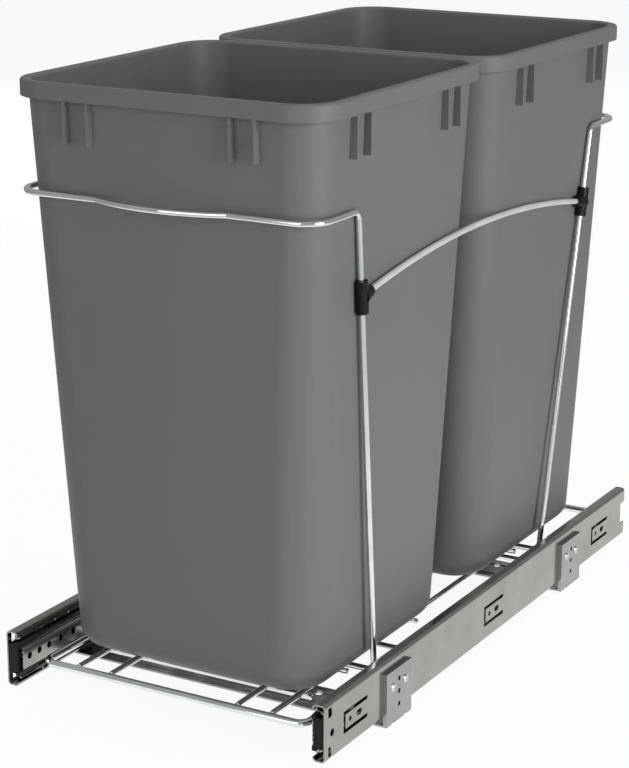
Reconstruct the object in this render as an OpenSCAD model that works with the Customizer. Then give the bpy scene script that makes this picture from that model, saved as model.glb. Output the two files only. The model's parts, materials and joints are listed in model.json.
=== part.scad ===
// Pull-out waste unit: two tapered bins in a wire cradle, carried by a pair of
// full-extension ball slides that two cross plates hold to a cabinet floor.
// X is the width, Y the depth with the front at -Y, Z is up from the floor.

/* [Slides] */
// Closed length of each slide
slide_len = 559; // [500:1:620]
// Height of a slide's outer member
slide_h = 45; // [44:0.5:50]
// Height of the slides' lower edge above the floor
slide_lift = 6.6; // [5:0.1:12]
// Sheet thickness of the three slide members
slide_sheet = 1.2; // [1:0.05:1.4]
// Diameter of a bearing ball
ball_d = 4.4; // [3.6:0.1:4.6]
// Distance between neighbouring balls
ball_pitch = 18; // [12:1:30]
// Balls in each row
ball_count = 13; // [5:1:14]

/* [Cross plates] */
// Depth of a cross plate, front to back
plate_d = 39.9; // [34:0.1:50]
// Sheet thickness of a cross plate
plate_sheet = 1.5; // [1:0.1:2.5]
// Distance from the slides' front to the front plate
plate_front_y = 88.1; // [80:0.1:100]
// Distance from the slides' front to the rear plate
plate_rear_y = 410.6; // [400:0.1:420]
// Height of the plates' ears
ear_h = 43.2; // [38:0.1:45]
// Distance of a floor screw slot's middle from the plate's end
floor_slot_inset = 41.75; // [36:0.25:50]
// Length of a floor screw slot
floor_slot_len = 17; // [8:0.5:20]
// Width of a floor screw slot
floor_slot_w = 5; // [3.5:0.1:6.5]

/* [Bins] */
// Width of a bin over its rim
bin_w = 267.4; // [255:0.1:270]
// Depth of a bin over its rim
bin_d = 267; // [255:0.1:268]
// Height of a bin
bin_h = 446.2; // [420:0.1:520]
// Distance from the slides' front to the front bin's rim
bin_front_y = 8.7; // [5:0.1:14]
// Gap between the two bins' rims
bin_gap = 4.8; // [3:0.1:12]
// Height of the rim's skirt
rim_h = 13.4; // [9:0.1:25]
// How far the rim stands out from the wall
rim_out = 5.9; // [5.6:0.1:8]
// Wall thickness of a bin
bin_wall = 2.2; // [1.5:0.1:3]
// How far each wall leans in from rim to foot
bin_lean = 16.6; // [16:0.1:30]
// Outer corner radius of the rim
rim_corner_r = 33.7; // [25:0.1:45]
// Height of the fins below the skirt
fin_h = 30; // [15:1:60]
// Thickness of a fin
fin_t = 2; // [1.2:0.1:3]

/* [Wire cradle] */
// Diameter of the base ring's wire
ring_d = 6.35; // [5:0.05:7]
// Diameter of the other wires
wire_d = 4.76; // [4:0.02:5.5]
// Diameter of the side braces
brace_d = 4.76; // [3.6:0.02:4.8]
// Height of the base ring's centre line
ring_z = 25.6; // [24:0.1:29]
// Gap between the base ring and the slides
ring_slide_gap = 9.475; // [9:0.005:14]
// How far the base ring lies inside the loops' feet
ring_inset = 2.1; // [1:0.1:3]
// Distance from the slides' front to the ring's front wire
ring_front_y = 14.3; // [11:0.1:25]
// Distance from the slides' front to the ring's rear wire
ring_rear_y = 550; // [535:0.5:553]
// Corner radius of the base ring
ring_corner_r = 9; // [7:0.5:20]
// Distance of the outer floor wires from the base ring's side wires
floor_wire_inset = 30.1; // [20:0.1:45]
// Distance between two neighbouring floor wires
floor_wire_pitch = 30; // [20:1:40]
// How far the loops' feet lie inside the rim
loop_foot_inset = 14.5; // [13:0.1:16]
// How far the loops' tops lie inside the rim
loop_top_inset = 6.24; // [5:0.01:6.24]
// Distance from the bins' rim down to the loops' top bars
loop_below_rim = 82.085; // [60:0.005:120]
// Distance from the slides' front to the front loop's foot
loop_front_foot_y = 116.6; // [112:0.1:130]
// Distance from the slides' front to the rear loop's foot
loop_rear_foot_y = 420; // [405:0.5:425]
// Distance from the slides' front to the front loop's knee
loop_front_knee_y = 73; // [65:0.5:80]
// Distance from the slides' front to the rear loop's knee
loop_rear_knee_y = 485; // [478:0.5:492]
// Plan corner radius of the loops' top bars
loop_corner_r = 20.4; // [15:0.1:24]
// How far the front bar's grip bows forward
grip_out = 10.7; // [0.5:0.1:10.8]
// Distance from the loops' top bars down to the side tees' middle
tee_below_loop = 63.8; // [50:0.1:90]
// Outer diameter of a tee's sleeve
tee_d = 10.2; // [8.5:0.1:11]
// Length of a tee's sleeve
tee_len = 24.8; // [21:0.1:32]
// Rise of a side brace between its ends
brace_rise = 18; // [5:0.1:30]

/* [Hidden] */

$fn = 48;
overrun = 1;
weld_gap = 0.05;
seat_gap = 0.3;
fit_gap = 0.05;
wire_sides = 16;
arc_step_deg = 12;
arc_step_r = 40;
left = -1;
right = 1;

zinc = "#a9a9a6";
dull_steel = "#6f7072";
bright_wire = "#d8dadd";
satin_wire = "#cfd0d0";
black_plastic = "#141414";
bin_grey = "#6b6b6b";

// Slide cross-section: u runs inward from the outer face, v is up from the slide's middle
slide_t = 12.7;
outer_depth = 10.8;
race_gap = 0.3;
cage_sheet = 0.6;
cage_corner_r = 0.6;
cage_web_gap = 0.7;
cage_lip = 1.9;
ball_fit = 0.15;
web_corner_r = 2.4;
inner_corner_r = 1.4;
outer_lip_deg = 5;
middle_lip_deg = 330;
inner_lip_deg = 250;
ball_r = ball_d / 2;
half_sheet = slide_sheet / 2;
race_r = ball_r + race_gap + half_sheet;
slide_mid_z = slide_lift + slide_h / 2;
loop_foot_half = bin_w / 2 - loop_foot_inset;
loop_top_half = bin_w / 2 - loop_top_inset;
ring_half = loop_foot_half - ring_inset;
track_half = ring_half + ring_d / 2 + ring_slide_gap + slide_t;
outer_ball = [outer_depth - race_r - half_sheet, slide_h / 2 - half_sheet - race_r];
inner_ball = [outer_ball[0], outer_ball[1] - 2 * race_r];
inner_top = inner_ball[1] - race_r;
ball_row = ball_pitch * (ball_count - 1);
cage_len = ball_row + 2 * ball_d;
cage_y = slide_len / 2;
middle_front_y = 4;
inner_front_y = 3.5;
member_rear_gap = 4;

// Holes and lanced tabs in the outer member's web, from its front and its lower edge
web_hole_y = 7.5;
web_hole_top = 37.6;
web_hole_low = 6.9;
web_hole_w = 5.4;
web_hole_h = 7.6;
web_round_y = 10.4;
web_round_z = 21;
web_round_d = 5.8;
tab_len = 36.3;
tab_h = 17.5;
tab_low = 12.5;
tab_slit = 3;
tab_front_y = 27.3;
tab_mid_y = 262;
tab_rear_gap = 40;
tab_hole_y = 10.1;
tab_hole_d = 4;
tab_oval_y = 23.6;
tab_oval_d = 4.6;
tab_oval_len = 8;
tab_hole_z = 8.8;
rear_notch_len = 8.5;
rear_notch_h = 20;
member_hole_d = 5.6;
member_hole_ys = [12, 24.7, 37.4, 53, 69.6];
stake_d = 1.8;
stake_first_y = 30;
stake_count = 4;
stake_h = 0.8;

// Cross plates and their ears
ear_out = 3.3;
ear_lip = 1.2;
rivet_head_d = 6.8;
rivet_head_h = 1.3;
rivet_d = 3.6;
rivet_tail_d = 5.4;
rivet_tail_h = 0.3;
rivet_pitch = 19.6;
rivet_drop = 13.4;
ear_hole_d = 3.8;
ear_hole_pitch = 10.4;
ear_hole_drop = 9.4;
ear_hole_count = 3;
relief_w = 3;
relief_h = 2.4;
relief_pitch = 20;
bead_off = 11;
bead_w = 4;
bead_h = 1;
bead_end_gap = 0.5;
spare_hole_d = 6;
spare_hole_inset = 74.75;
spare_hole_off = 7.6;
ear_half = track_half + ear_out;
floor_slot_x = ear_half - floor_slot_inset;
bead_half = floor_slot_x - floor_slot_len / 2 - bead_end_gap;

// Wire cradle
ring_r = ring_d / 2;
wire_r = wire_d / 2;
brace_r = brace_d / 2;
rest_z = ring_z + ring_r + wire_r + weld_gap;
floor_wire_z = rest_z - wire_d - weld_gap;
under_wire_z = floor_wire_z - wire_d - weld_gap;
under_wire_over = 6;
outer_floor_x = ring_half - floor_wire_inset;
inner_floor_x = outer_floor_x - floor_wire_pitch;
under_wire_len = 2 * (outer_floor_x + under_wire_over);
under_wire_ys = [67.8, 124, 241, 430];
rest_front_y = 163;
rest_rear_y = 389;
foot_bend_r = 7;
knee_bend_r = 7;
grip_w = 110;
grip_bend_r = 8;
grip_arc_share = 0.95;
tee_socket_len = 12.9;
tee_socket_root_d = 13;
tee_socket_end_d = 8.8;
tee_web_t = 2.2;
tee_web_share = 0.82;
tee_back_t = 0.7;
brace_seat = 6;

// Mounting tabs that join the ring to the slides' inner members
mount_tab_d = 24;
mount_tab_t = 1.8;
mount_tab_in = 5;
mount_tab_top = 9;
tab_screw_d = 4;
tab_screw_hole_d = 4.5;
tab_screw_head_d = 8;
tab_screw_head_h = 2.2;
tab_screw_pitch = 12.7;
tab_screw_tail = 1.5;

// Bumper on the front of each inner member
bumper_in = 1.5;
bumper_out = 10.5;
bumper_len = 3.3;
bumper_arm_len = 25;
bumper_arm_out = 11.2;
bumper_arm_in = 7.6;
bumper_arm_gap = 0.2;
bumper_arm_h = 4;

// Bins
bin_lip_t = 2.2;
bin_edge_r = 2;
bin_foot_r = 18;
bin_foot_corner_r = 35;
bin_corner_steps = 7;
bin_foot_steps = 6;
fin_pair_pitch = 140;
fin_pitch = 20;
fin_inset = 0.8;
fin_root = 0.3;
bar_in = 4.7;
loop_front_bar_y = bin_front_y + bar_in;
loop_rear_bar_y = bin_front_y + 2 * bin_d + bin_gap - bar_in;
bin_bottom_z = rest_z + wire_r + seat_gap;
rim_top_z = bin_bottom_z + bin_h;
loop_top_z = rim_top_z - loop_below_rim;
tee_z = loop_top_z - tee_below_loop;

function bin_y(i) = bin_front_y + bin_d / 2 + i * (bin_d + bin_gap);
function unit(v) = v / norm(v);
function flip(points) = [for (p = points) [-p[0], p[1], p[2]]];
function backwards(list) = [for (i = [len(list) - 1:-1:0]) list[i]];
function after_first(list) = [for (i = [1:len(list) - 1]) list[i]];
function on_arc(c, r, a) = [c[0] + r * cos(a), c[1] + r * sin(a)];
function arc_points(c, r, from, to) =
    let (n = ceil(abs(to - from) / arc_step_deg))
    [for (i = [0:n]) on_arc(c, r, from + (to - from) * i / n)];

// Outline of a bent sheet: its centre line, drawn for the upper half and mirrored down
function mirrored_line(upper) = concat([for (p = backwards(upper)) [p[0], -p[1]]], upper);
function turn_left(d) = [-d[1], d[0]];
function edge_point(line, i, off) =
    let (
        last = len(line) - 1,
        before = unit(line[max(i, 1)] - line[max(i, 1) - 1]),
        after = unit(line[min(i, last - 1) + 1] - line[min(i, last - 1)]),
        both = turn_left(before) + turn_left(after))
    line[i] + both * off / (1 + before * after);
function sheet_outline(line, t) =
    concat([for (i = [0:len(line) - 1]) edge_point(line, i, t / 2)],
        [for (i = [len(line) - 1:-1:0]) edge_point(line, i, -t / 2)]);

function outer_line() =
    concat(arc_points([half_sheet + web_corner_r, slide_h / 2 - half_sheet - web_corner_r],
        web_corner_r, 180, 90), arc_points(outer_ball, race_r, 90, outer_lip_deg));
function middle_line() =
    concat(arc_points(inner_ball, race_r, 180, 90),
        after_first(arc_points(outer_ball, race_r, 270, middle_lip_deg)));
function inner_line() =
    concat(arc_points([slide_t - half_sheet - inner_corner_r, inner_top - inner_corner_r],
        inner_corner_r, 0, 90), arc_points(inner_ball, race_r, 270, inner_lip_deg));
function cage_line(web_u, ball) =
    concat(arc_points([web_u + cage_corner_r, ball[1] - cage_corner_r], cage_corner_r, 180, 90),
        [[ball[0] + cage_lip, ball[1]]]);

// A wire's path: corners rounded by true arcs, each ring of points square to the path
function bend(p, a, b, r) =
    let (
        turn = acos(a * b),
        n = unit(cross(a, b)),
        start = p - a * r * tan(turn / 2),
        centre = start + cross(n, a) * r,
        steps = ceil(turn / arc_step_deg) + ceil(r / arc_step_r))
    [for (k = [0:steps])
        let (x = unit(start - centre), s = turn * k / steps)
        [centre + r * (x * cos(s) + a * sin(s)), a * cos(s) - x * sin(s)]];
function closed_path(corners, radii) =
    let (n = len(corners))
    [for (i = [0:n - 1])
        let (
            a = unit(corners[i] - corners[(i + n - 1) % n]),
            b = unit(corners[(i + 1) % n] - corners[i]))
        each bend(corners[i], a, b, radii[i])];
function ring_points(at, side, r) =
    let (n = unit(cross(side, at[1])), b = cross(at[1], n))
    [for (j = [0:wire_sides - 1])
        let (a = 360 * j / wire_sides)
        at[0] + r * (n * cos(a) + b * sin(a))];

// Skin over a row of point rings, closed on itself or with a cap at each end
module skin(rings, closed) {
    count = len(rings);
    sides = len(rings[0]);
    last = closed ? count - 1 : count - 2;
    walls = [for (i = [0:last], j = [0:sides - 1])
        let (k = (i + 1) % count, m = (j + 1) % sides)
        [i * sides + j, k * sides + j, k * sides + m, i * sides + m]];
    caps = closed ? [] : [[for (j = [0:sides - 1]) j], [for (j = [sides - 1:-1:0]) (count - 1) * sides + j]];
    polyhedron(points = [for (ring = rings) each ring], faces = concat(walls, caps), convexity = 10);
}

module placed() {
    translate([0, -slide_len / 2, 0]) children();
}

module on_side(side) {
    scale([side, 1, 1]) children();
}

// Extrudes a slide section along Y, on one side of the unit
module slide_section(side, line, t, from_y, to_y) {
    outline = sheet_outline(mirrored_line(line), t);
    points = [for (p = outline) [side * (track_half - p[0]), p[1]]];
    translate([0, to_y, slide_mid_z]) rotate([90, 0, 0]) linear_extrude(height = to_y - from_y)
        polygon(points);
}

// A block across a slide's web or face, given by its middle along Y and Z
module cross_cut(side, u, y, z, depth, size_y, size_z) {
    translate([side * (track_half - u), y, z]) cube([depth, size_y, size_z], center = true);
}

module cross_bore(side, u, y, z, depth, d) {
    translate([side * (track_half - u), y, z]) rotate([0, 90, 0]) cylinder(h = depth, d = d, center = true);
}

module cross_oval(side, u, y, z, depth, d, len_y) {
    flat = len_y - d;
    cross_cut(side, u, y, z, depth, flat, d);
    cross_bore(side, u, y - flat / 2, z, depth, d);
    cross_bore(side, u, y + flat / 2, z, depth, d);
}

module lanced_tab(side, y) {
    deep = 2 * slide_sheet + overrun;
    low = slide_lift + tab_low;
    cross_cut(side, half_sheet, y + tab_slit / 2, low + tab_h / 2, deep, tab_slit, tab_h);
    cross_cut(side, half_sheet, y + tab_len / 2, low + tab_slit / 2, deep, tab_len, tab_slit);
    cross_cut(side, half_sheet, y + tab_len / 2, low + tab_h - tab_slit / 2, deep, tab_len, tab_slit);
    cross_bore(side, half_sheet, y + tab_hole_y, low + tab_hole_z, deep, tab_hole_d);
    cross_oval(side, half_sheet, y + tab_oval_y, low + tab_hole_z, deep, tab_oval_d, tab_oval_len);
}

module rivet_places() {
    for (plate_y = [plate_front_y, plate_rear_y], step = [-1, 1])
        translate([0, plate_y + plate_d / 2 + step * rivet_pitch / 2, ear_h - rivet_drop]) children();
}

module outer_slide(side) {
    deep = 2 * slide_sheet + overrun;
    color(zinc) placed() difference() {
        slide_section(side, outer_line(), slide_sheet, 0, slide_len);
        cross_cut(side, half_sheet, web_hole_y, slide_lift + web_hole_top, deep, web_hole_w, web_hole_h);
        cross_cut(side, half_sheet, web_hole_y, slide_lift + web_hole_low, deep, web_hole_w, web_hole_h);
        cross_bore(side, half_sheet, web_round_y, slide_lift + web_round_z, deep, web_round_d);
        for (y = [tab_front_y, tab_mid_y, slide_len - tab_rear_gap - tab_len]) lanced_tab(side, y);
        cross_cut(side, half_sheet, slide_len, slide_mid_z, deep, 2 * rear_notch_len, rear_notch_h);
        rivet_places() translate([side * track_half, 0, 0]) rotate([0, 90, 0])
            cylinder(h = deep, d = rivet_d + 2 * fit_gap, center = true);
    }
}

module outer_slide_left() {
    outer_slide(left);
}

module outer_slide_right() {
    outer_slide(right);
}

// A cross plate's ear: its outer sheet and the lips that close it onto the slide
module ear(side) {
    lip_len = ear_out - fit_gap;
    at_x = side == left ? -ear_half : ear_half - plate_sheet;
    lip_x = side == left ? -ear_half : ear_half - lip_len;
    translate([at_x, 0, 0]) cube([plate_sheet, plate_d, ear_h]);
    translate([lip_x, 0, 0]) cube([lip_len, ear_lip, ear_h]);
    translate([lip_x, plate_d - ear_lip, 0]) cube([lip_len, ear_lip, ear_h]);
    translate([lip_x, 0, ear_h - ear_lip]) cube([lip_len, plate_d, ear_lip]);
}

module ear_cuts(side) {
    deep = 2 * plate_sheet + overrun;
    sheet_x = side * (ear_half - plate_sheet / 2);
    for (step = [-1, 1]) {
        translate([sheet_x, plate_d / 2 + step * rivet_pitch / 2, ear_h - rivet_drop]) rotate([0, 90, 0])
            cylinder(h = deep, d = rivet_d + 2 * fit_gap, center = true);
        translate([sheet_x, plate_d / 2 + step * relief_pitch / 2, 0])
            cube([deep, relief_w, 2 * relief_h], center = true);
    }
    for (i = [0:ear_hole_count - 1])
        translate([sheet_x, plate_d / 2, ear_h - ear_hole_drop - i * ear_hole_pitch]) rotate([0, 90, 0])
            cylinder(h = deep, d = ear_hole_d, center = true);
}

module floor_slot(len_x, w) {
    flat = len_x - w;
    deep = 2 * (plate_sheet + bead_h) + overrun;
    cube([flat, w, deep], center = true);
    for (side = [left, right]) translate([side * flat / 2, 0, 0]) cylinder(h = deep, d = w, center = true);
}

module bead() {
    flat = bead_half - bead_w / 2;
    height = plate_sheet + bead_h;
    translate([-flat, -bead_w / 2, 0]) cube([2 * flat, bead_w, height]);
    for (side = [left, right]) translate([side * flat, 0, 0]) cylinder(h = height, d = bead_w);
}

module cross_plate(y) {
    color(dull_steel) placed() translate([0, y, 0]) difference() {
        union() {
            translate([-ear_half, 0, 0]) cube([2 * ear_half, plate_d, plate_sheet]);
            ear(left);
            ear(right);
            for (step = [-1, 1]) translate([0, plate_d / 2 + step * bead_off, 0]) bead();
        }
        for (side = [left, right]) {
            ear_cuts(side);
            translate([side * floor_slot_x, plate_d / 2, 0]) floor_slot(floor_slot_len, floor_slot_w);
            translate([side * (ear_half - spare_hole_inset), plate_d / 2 + spare_hole_off, 0])
                cylinder(h = 2 * (plate_sheet + bead_h) + overrun, d = spare_hole_d, center = true);
        }
    }
}

module front_cross_plate() {
    cross_plate(plate_front_y);
}

module rear_cross_plate() {
    cross_plate(plate_rear_y);
}

module ear_rivets() {
    grip = ear_out + slide_sheet;
    color(bright_wire) placed() for (side = [left, right]) rivet_places() {
        translate([side * ear_half, 0, 0]) rotate([0, side * 90, 0]) {
            cylinder(h = rivet_head_h, d1 = rivet_head_d, d2 = rivet_d);
            translate([0, 0, -grip]) cylinder(h = grip, d = rivet_d);
            translate([0, 0, -grip - rivet_tail_h]) cylinder(h = rivet_tail_h, d = rivet_tail_d);
        }
    }
}

module middle_slide(side) {
    lip = on_arc(outer_ball, race_r, middle_lip_deg);
    color(zinc) placed() {
        slide_section(side, middle_line(), slide_sheet, middle_front_y, slide_len - member_rear_gap);
        for (i = [0:stake_count - 1], level = [-1, 1])
            translate([side * (track_half - lip[0]), stake_first_y + i * ball_pitch,
                slide_mid_z + level * lip[1]]) rotate([0, side * -90, 0])
                cylinder(h = half_sheet + stake_h, d = stake_d);
    }
}

module middle_slide_left() {
    middle_slide(left);
}

module middle_slide_right() {
    middle_slide(right);
}

module cage(side, web_u, ball) {
    hole_d = ball_d + 2 * ball_fit;
    color(dull_steel) placed() difference() {
        slide_section(side, cage_line(web_u, ball), cage_sheet, cage_y - cage_len / 2,
            cage_y + cage_len / 2);
        for (i = [0:ball_count - 1], level = [-1, 1])
            translate([side * (track_half - ball[0]), cage_y - ball_row / 2 + i * ball_pitch,
                slide_mid_z + level * ball[1]]) cylinder(h = ball_d, d = hole_d, center = true);
    }
}

module balls(side, ball) {
    color(bright_wire) placed() for (i = [0:ball_count - 1], level = [-1, 1])
        translate([side * (track_half - ball[0]), cage_y - ball_row / 2 + i * ball_pitch,
            slide_mid_z + level * ball[1]]) sphere(d = ball_d);
}

outer_cage_u = slide_sheet + cage_web_gap + cage_sheet / 2;
inner_cage_u = inner_ball[0] - race_r + half_sheet + seat_gap + cage_sheet / 2;

module outer_cage_left() {
    cage(left, outer_cage_u, outer_ball);
}

module outer_cage_right() {
    cage(right, outer_cage_u, outer_ball);
}

module inner_cage_left() {
    cage(left, inner_cage_u, inner_ball);
}

module inner_cage_right() {
    cage(right, inner_cage_u, inner_ball);
}

module outer_balls_left() {
    balls(left, outer_ball);
}

module outer_balls_right() {
    balls(right, outer_ball);
}

module inner_balls_left() {
    balls(left, inner_ball);
}

module inner_balls_right() {
    balls(right, inner_ball);
}

function tab_y(row) = (row == 0 ? plate_front_y : plate_rear_y) + plate_d / 2;

module screw_places() {
    for (row = [0, 1], step = [-1, 1])
        translate([0, tab_y(row) + step * tab_screw_pitch / 2, slide_mid_z]) children();
}

module inner_slide(side) {
    face_u = slide_t - half_sheet;
    deep = 2 * slide_sheet + overrun;
    color(zinc) placed() difference() {
        slide_section(side, inner_line(), slide_sheet, inner_front_y, slide_len - member_rear_gap);
        for (y = member_hole_ys) cross_bore(side, face_u, y, slide_mid_z, deep, member_hole_d);
        screw_places() cross_bore(side, face_u, 0, 0, deep, tab_screw_hole_d);
    }
}

module inner_slide_left() {
    inner_slide(left);
}

module inner_slide_right() {
    inner_slide(right);
}

module slide_bumper(side) {
    plate_w = bumper_out - bumper_in;
    arm_w = bumper_arm_out - bumper_arm_in;
    arm_mid = inner_top + half_sheet + bumper_arm_gap + bumper_arm_h / 2;
    arm_u = (bumper_arm_out + bumper_arm_in) / 2;
    color(black_plastic) placed() {
        cross_cut(side, bumper_in + plate_w / 2, bumper_len / 2, slide_mid_z, plate_w, bumper_len,
            2 * arm_mid);
        for (level = [-1, 1])
            cross_cut(side, arm_u, bumper_arm_len / 2, slide_mid_z + level * arm_mid, arm_w,
                bumper_arm_len, bumper_arm_h);
    }
}

module slide_bumper_left() {
    slide_bumper(left);
}

module slide_bumper_right() {
    slide_bumper(right);
}

module base_ring() {
    corners = [for (place = [[1, ring_front_y], [1, ring_rear_y], [-1, ring_rear_y], [-1, ring_front_y]])
        [place[0] * ring_half, place[1], ring_z]];
    path = closed_path(corners, [for (c = corners) ring_corner_r]);
    color(bright_wire) placed() skin([for (at = path) ring_points(at, [0, 0, 1], ring_r)], true);
}

module floor_wire(x) {
    start = ring_front_y + ring_r + weld_gap;
    length = ring_rear_y - ring_r - weld_gap - start;
    color(bright_wire) placed() translate([x, start, floor_wire_z]) rotate([-90, 0, 0])
        cylinder(h = length, r = wire_r);
}

module floor_wire_1() {
    floor_wire(-outer_floor_x);
}

module floor_wire_2() {
    floor_wire(-inner_floor_x);
}

module floor_wire_3() {
    floor_wire(inner_floor_x);
}

module floor_wire_4() {
    floor_wire(outer_floor_x);
}

module wire_across(y, z, length) {
    translate([0, y, z]) rotate([0, 90, 0]) cylinder(h = length, r = wire_r, center = true);
}

module under_wire(i) {
    straight = under_wire_len - wire_d;
    color(bright_wire) placed() {
        wire_across(under_wire_ys[i], under_wire_z, straight);
        for (side = [left, right])
            translate([side * straight / 2, under_wire_ys[i], under_wire_z]) sphere(r = wire_r);
    }
}

module under_wire_1() {
    under_wire(0);
}

module under_wire_2() {
    under_wire(1);
}

module under_wire_3() {
    under_wire(2);
}

module under_wire_4() {
    under_wire(3);
}

module rest_wire_front() {
    color(bright_wire) placed() wire_across(rest_front_y, rest_z, 2 * ring_half + ring_r);
}

module rest_wire_rear() {
    color(bright_wire) placed() wire_across(rest_rear_y, rest_z, 2 * ring_half + ring_r);
}

// Corners of half a loop, from its foot over its knee to the top bar and the grip's end
function loop_half(foot_y, knee_y, bar_y, grip) =
    let (foot = loop_foot_half, top = loop_top_half)
    concat([[foot, foot_y, rest_z], [top, knee_y, loop_top_z], [top, bar_y, loop_top_z]],
        grip == 0 ? [] : [[grip_w / 2, bar_y, loop_top_z]]);

// The grip is one long bend, round a corner twice as far out as the bow
module wire_loop(foot_y, knee_y, bar_y, grip) {
    half = loop_half(foot_y, knee_y, bar_y, grip);
    half_radii = concat([foot_bend_r, knee_bend_r, loop_corner_r], grip == 0 ? [] : [grip_bend_r]);
    slope = atan(4 * grip / grip_w);
    peak = grip == 0 ? [] : [[0, bar_y - 2 * grip, loop_top_z]];
    peak_r = grip == 0 ? [] : [grip_arc_share * grip_w / 2 / sin(slope)];
    lean = sign(bar_y - foot_y);
    path = closed_path(concat(half, peak, backwards(flip(half))),
        concat(half_radii, peak_r, backwards(half_radii)));
    color(bright_wire) placed() skin([for (at = path) ring_points(at, [0, lean, -1], wire_r)], true);
}

module front_loop() {
    wire_loop(loop_front_foot_y, loop_front_knee_y, loop_front_bar_y, grip_out);
}

module rear_loop() {
    wire_loop(loop_rear_foot_y, loop_rear_knee_y, loop_rear_bar_y, 0);
}

// Foot and knee of a loop's upright on the +X side, and its place at a height
function upright(row) =
    let (
        foot = [loop_foot_half, row == 0 ? loop_front_foot_y : loop_rear_foot_y, rest_z],
        knee = [loop_top_half, row == 0 ? loop_front_knee_y : loop_rear_knee_y, loop_top_z])
    [foot, knee];
function upright_way(row) = unit(upright(row)[1] - upright(row)[0]);
function upright_at(row, z) =
    let (foot = upright(row)[0], knee = upright(row)[1])
    foot + (knee - foot) * (z - foot[2]) / (knee[2] - foot[2]);

// The brace is an arc in an upright plane, from one tee to the other
brace_from = upright_at(0, tee_z)[1];
brace_to = upright_at(1, tee_z)[1];
brace_x = upright_at(0, tee_z)[0];
brace_half = (brace_to - brace_from) / 2;
brace_arc_r = (brace_half ^ 2 + brace_rise ^ 2) / (2 * brace_rise);
brace_mid_y = (brace_from + brace_to) / 2;
brace_centre_z = tee_z + brace_rise - brace_arc_r;
brace_full = asin(brace_half / brace_arc_r);
brace_steps = 20;
function brace_at(s) =
    [[brace_x, brace_mid_y + brace_arc_r * sin(s), brace_centre_z + brace_arc_r * cos(s)],
        [0, cos(s), -sin(s)]];

module side_brace(side) {
    ends = asin((brace_half - brace_seat) / brace_arc_r);
    path = [for (i = [0:brace_steps]) brace_at(ends * (2 * i / brace_steps - 1))];
    color(satin_wire) placed() on_side(side)
        skin([for (at = path) ring_points(at, [1, 0, 0], brace_r)], false);
}

module side_brace_left() {
    side_brace(left);
}

module side_brace_right() {
    side_brace(right);
}

// Turns children so that their Z runs along a direction
module along(at, way, across) {
    x = unit(cross(across, way));
    y = cross(way, x);
    multmatrix([[x[0], y[0], way[0], at[0]], [x[1], y[1], way[1], at[1]], [x[2], y[2], way[2], at[2]],
        [0, 0, 0, 1]]) children();
}

module tee(side, row) {
    sleeve_at = upright_at(row, tee_z);
    way = upright_way(row);
    end = brace_at(row == 0 ? -brace_full : brace_full);
    socket_way = row == 0 ? end[1] : -end[1];
    socket_seat = brace_seat - fit_gap;
    web_half = way * tee_len / 2 * tee_web_share;
    web_corners = [sleeve_at - web_half, sleeve_at + socket_way * tee_socket_len, sleeve_at + web_half];
    color(black_plastic) placed() on_side(side) difference() {
        union() {
            along(sleeve_at, way, [1, 0, 0]) cylinder(h = tee_len, d = tee_d, center = true);
            along(sleeve_at, socket_way, [1, 0, 0])
                cylinder(h = tee_socket_len, d1 = tee_socket_root_d, d2 = tee_socket_end_d);
            translate([brace_x - tee_web_t / 2, 0, 0]) rotate([90, 0, 90])
                linear_extrude(height = tee_web_t) polygon([for (p = web_corners) [p[1], p[2]]]);
        }
        along(sleeve_at, way, [1, 0, 0])
            cylinder(h = tee_len + 2 * overrun, r = wire_r + fit_gap, center = true);
        along(sleeve_at + socket_way * socket_seat, socket_way, [1, 0, 0])
            cylinder(h = tee_socket_len, r = brace_r + 2 * fit_gap);
        along(sleeve_at, way, [1, 0, 0]) translate([0, -wire_r - tee_back_t - tee_len, 0])
            cube(2 * tee_len, center = true);
    }
}

module tee_front_left() {
    tee(left, 0);
}

module tee_front_right() {
    tee(right, 0);
}

module tee_rear_left() {
    tee(left, 1);
}

module tee_rear_right() {
    tee(right, 1);
}

// Bent tab under the ring's side wire, standing against the slide's inner member
module mounting_tab(side, row) {
    face = track_half - slide_t - fit_gap;
    shelf_top = ring_z - ring_r - weld_gap;
    shelf_from = ring_half - mount_tab_in;
    stand_h = slide_mid_z + mount_tab_top - shelf_top + mount_tab_t;
    color(dull_steel) placed() translate([0, tab_y(row), 0]) difference() {
        union() {
            translate([side == left ? -face : shelf_from, -mount_tab_d / 2, shelf_top - mount_tab_t])
                cube([face - shelf_from, mount_tab_d, mount_tab_t]);
            translate([side == left ? -face : face - mount_tab_t, -mount_tab_d / 2, shelf_top - mount_tab_t])
                cube([mount_tab_t, mount_tab_d, stand_h]);
        }
        for (step = [-1, 1]) translate([side * face, step * tab_screw_pitch / 2, slide_mid_z])
            rotate([0, 90, 0]) cylinder(h = 2 * mount_tab_t + overrun, d = tab_screw_hole_d, center = true);
    }
}

module mounting_tab_front_left() {
    mounting_tab(left, 0);
}

module mounting_tab_front_right() {
    mounting_tab(right, 0);
}

module mounting_tab_rear_left() {
    mounting_tab(left, 1);
}

module mounting_tab_rear_right() {
    mounting_tab(right, 1);
}

module tab_screws() {
    face = track_half - slide_t - fit_gap - mount_tab_t;
    reach = mount_tab_t + fit_gap + slide_sheet + tab_screw_tail;
    color(zinc) placed() for (side = [left, right]) screw_places()
        translate([side * (face - fit_gap), 0, 0]) rotate([0, side * 90, 0]) {
            cylinder(h = reach, d = tab_screw_d);
            translate([0, 0, -tab_screw_head_h])
                cylinder(h = tab_screw_head_h, d1 = tab_screw_head_d / 2, d2 = tab_screw_head_d);
        }
}

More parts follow.
